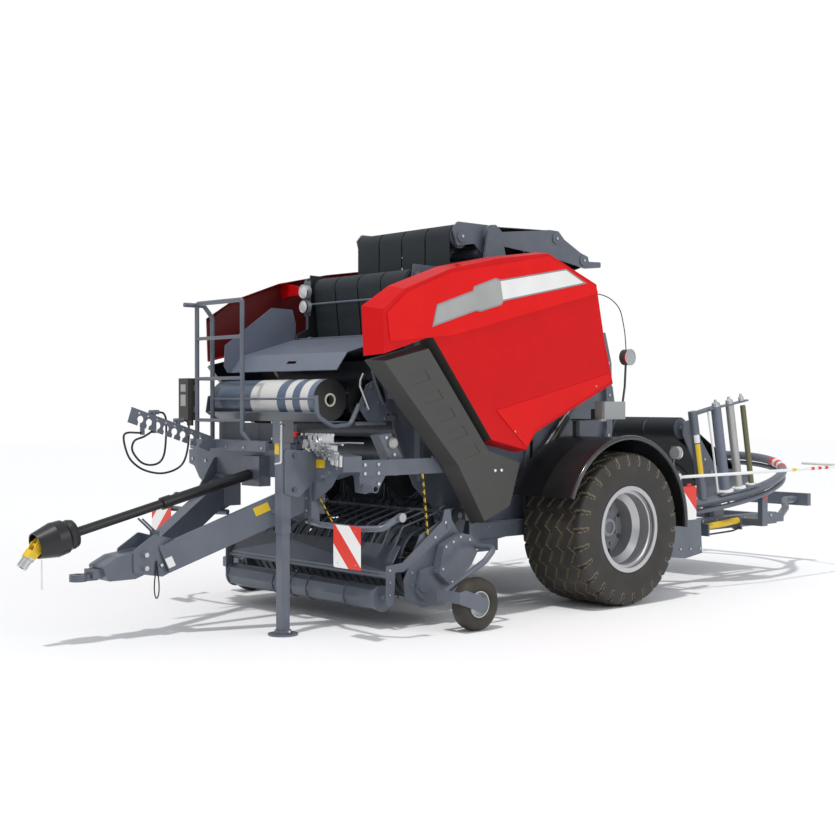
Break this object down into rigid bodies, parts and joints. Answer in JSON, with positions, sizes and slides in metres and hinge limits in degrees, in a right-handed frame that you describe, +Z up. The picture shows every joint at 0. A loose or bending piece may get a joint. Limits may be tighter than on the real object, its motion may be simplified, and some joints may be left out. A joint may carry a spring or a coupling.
{
  "type": "round baler",
  "caption": "Trailed round baler with a rear bale wrapper: tine pickup, belt chamber with hinged tailgate, tilting wrapping table inside a tilted film ring, and a drive shaft to the tractor.",
  "frame": {"origin": "on the ground, under the middle of the machine's length and width", "axes": "+X to the machine's left, -Y its direction of travel, +Z up"},
  "size_m": [2.874, 7.9103, 2.968],
  "materials": {
    "frame_paint": "slate blue-grey gloss",
    "pickup_paint": "slate grey",
    "tyre": "block tread",
    "rim": "silver",
    "roller_steel": "slate",
    "belt": "ribbed",
    "panel_red": "bright red",
    "panel_charcoal": "charcoal",
    "net": "net rolls",
    "guard_plastic": "black",
    "yoke_steel": "silver",
    "fender": "black",
    "board": "red and white stripes",
    "lamp": "lens",
    "hose": "black",
    "bar_paint": "white with bands",
    "cylinder": "black",
    "rod_chrome": "bright",
    "film_steel": "bright",
    "tine_steel": "dark"
  },
  "bodies": {
    "frame": {"main_frame": "frame_paint", "drawbar": "frame_paint", "hitch_eye": "frame_paint", "jack_sleeve": "frame_paint", "pto_guard": "guard_plastic", "chamber_walls": "frame_paint", "belt_rollers": "roller_steel", "belts": "belt", "tension_arm": "frame_paint", "net_rolls": "net", "net_cradle": "frame_paint", "platform": "frame_paint", "control_box": "guard_plastic", "hose_stand": "frame_paint", "valve_block": "yoke_steel", "fender_left": "fender", "fender_right": "fender", "boards": "board", "lamps": "lamp", "hose_inner": "hose", "hose_outer": "hose", "lower_panels": "panel_charcoal", "wrap_frame": "frame_paint", "ring_frame": "frame_paint", "side_boxes": "guard_plastic"},
    "left_wheel": {"tyre_left": "tyre", "rim_left": "rim"},
    "right_wheel": {"tyre_right": "tyre", "rim_right": "rim"},
    "jack": {"jack_leg": "rim"},
    "pto_joint": {"pto_yoke": "yoke_steel"},
    "rotor": {"feed_rotor": "roller_steel"},
    "pickup": {"pickup_frame": "pickup_paint"},
    "reel": {"pickup_reel": "tine_steel"},
    "guard": {"crop_guard": "pickup_paint"},
    "roller": {"crop_roller": "pickup_paint"},
    "left_gauge_wheel": {"gauge_tyre_left": "tyre", "gauge_rim_left": "rim"},
    "right_gauge_wheel": {"gauge_tyre_right": "tyre", "gauge_rim_right": "rim"},
    "cover": {"net_cover": "frame_paint"},
    "left_panel": {"panel_left": "panel_red"},
    "right_panel": {"panel_right": "panel_red"},
    "gate": {"tailgate": "frame_paint", "gate_belts": "belt"},
    "left_barrel": {"barrel_left": "cylinder"},
    "right_barrel": {"barrel_right": "cylinder"},
    "left_rod": {"rod_left": "rod_chrome"},
    "right_rod": {"rod_right": "rod_chrome"},
    "table": {"wrap_table": "frame_paint", "table_belts": "belt"},
    "ring": {"wrap_ring": "roller_steel", "film_units": "film_steel"},
    "left_bar": {"bar_left": "bar_paint"},
    "right_bar": {"bar_right": "bar_paint"}
  },
  "joints": [
    {"name": "left_wheel_spin", "type": "hinge", "parent": "frame", "child": "left_wheel", "pos_m": [1.065, 0.395, 0.597], "axis": [1, 0, 0], "continuous": true},
    {"name": "right_wheel_spin", "type": "hinge", "parent": "frame", "child": "right_wheel", "pos_m": [-1.065, 0.395, 0.597], "axis": [1, 0, 0], "continuous": true},
    {"name": "jack_slide", "type": "slide", "parent": "frame", "child": "jack", "axis": [0, 0, 1], "range_m": [0, 0.36]},
    {"name": "pto_spin", "type": "hinge", "parent": "frame", "child": "pto_joint", "pos_m": [0, -3.775, 0.675], "axis": [0, -0.9717, -0.2362], "continuous": true},
    {"name": "rotor_spin", "type": "hinge", "parent": "frame", "child": "rotor", "pos_m": [0, -0.88, 0.74], "axis": [1, 0, 0], "continuous": true},
    {"name": "pickup_lift", "type": "hinge", "parent": "frame", "child": "pickup", "pos_m": [0, -0.88, 0.74], "axis": [-1, 0, 0], "range_deg": [0, 14]},
    {"name": "reel_spin", "type": "hinge", "parent": "pickup", "child": "reel", "pos_m": [0, -1.29, 0.43], "axis": [1, 0, 0], "continuous": true},
    {"name": "guard_lift", "type": "hinge", "parent": "pickup", "child": "guard", "pos_m": [0, -1.17, 0.69], "axis": [-1, 0, 0], "range_deg": [0, 20]},
    {"name": "crop_roller_spin", "type": "hinge", "parent": "guard", "child": "roller", "pos_m": [0, -1.71, 0.215], "axis": [1, 0, 0], "continuous": true},
    {"name": "left_gauge_spin", "type": "hinge", "parent": "pickup", "child": "left_gauge_wheel", "pos_m": [1.35, -1.25, 0.185], "axis": [1, 0, 0], "continuous": true},
    {"name": "right_gauge_spin", "type": "hinge", "parent": "pickup", "child": "right_gauge_wheel", "pos_m": [-1.35, -1.25, 0.185], "axis": [1, 0, 0], "continuous": true},
    {"name": "cover_lift", "type": "hinge", "parent": "frame", "child": "cover", "pos_m": [0, -1.29, 2.075], "axis": [-1, 0, 0], "range_deg": [0, 38]},
    {"name": "left_panel_lift", "type": "hinge", "parent": "frame", "child": "left_panel", "pos_m": [0.745, -0.645, 2.47], "axis": [0, -1, 0], "range_deg": [0, 50]},
    {"name": "right_panel_lift", "type": "hinge", "parent": "frame", "child": "right_panel", "pos_m": [-0.745, -0.645, 2.47], "axis": [0, 1, 0], "range_deg": [0, 50]},
    {"name": "gate_lift", "type": "hinge", "parent": "frame", "child": "gate", "pos_m": [0, 0.06, 2.33], "axis": [1, 0, 0], "range_deg": [0, 38]},
    {"name": "left_barrel_swing", "type": "hinge", "parent": "frame", "child": "left_barrel", "pos_m": [0.695, -0.15, 0.9], "axis": [1, 0, 0], "range_deg": [0, 7]},
    {"name": "right_barrel_swing", "type": "hinge", "parent": "frame", "child": "right_barrel", "pos_m": [-0.695, -0.15, 0.9], "axis": [1, 0, 0], "range_deg": [0, 7]},
    {"name": "left_rod_slide", "type": "slide", "parent": "left_barrel", "child": "left_rod", "axis": [0, 0.7071, 0.7071], "range_m": [0, 0.536]},
    {"name": "right_rod_slide", "type": "slide", "parent": "right_barrel", "child": "right_rod", "axis": [0, 0.7071, 0.7071], "range_m": [0, 0.536]},
    {"name": "table_tip", "type": "hinge", "parent": "frame", "child": "table", "pos_m": [0, 2.25, 0.6], "axis": [-1, 0, 0], "range_deg": [0, 35]},
    {"name": "ring_spin", "type": "hinge", "parent": "frame", "child": "ring", "pos_m": [0, 2.435, 0.826], "axis": [0, -0.1908, 0.9816], "continuous": true},
    {"name": "left_bar_swing", "type": "hinge", "parent": "frame", "child": "left_bar", "pos_m": [1.19, 1.21, 0.96], "axis": [0, 0, -1], "range_deg": [0, 70]},
    {"name": "right_bar_swing", "type": "hinge", "parent": "frame", "child": "right_bar", "pos_m": [-1.19, 1.21, 0.96], "axis": [0, 0, 1], "range_deg": [0, 70]}
  ],
  "couplings": [
    {"joint": "left_barrel_swing", "follows": "gate_lift", "ratio": 0.1816},
    {"joint": "right_barrel_swing", "follows": "gate_lift", "ratio": 0.1816},
    {"joint": "left_rod_slide", "follows": "gate_lift", "m_per_rad": 0.8067},
    {"joint": "right_rod_slide", "follows": "gate_lift", "m_per_rad": 0.8067}
  ]
}
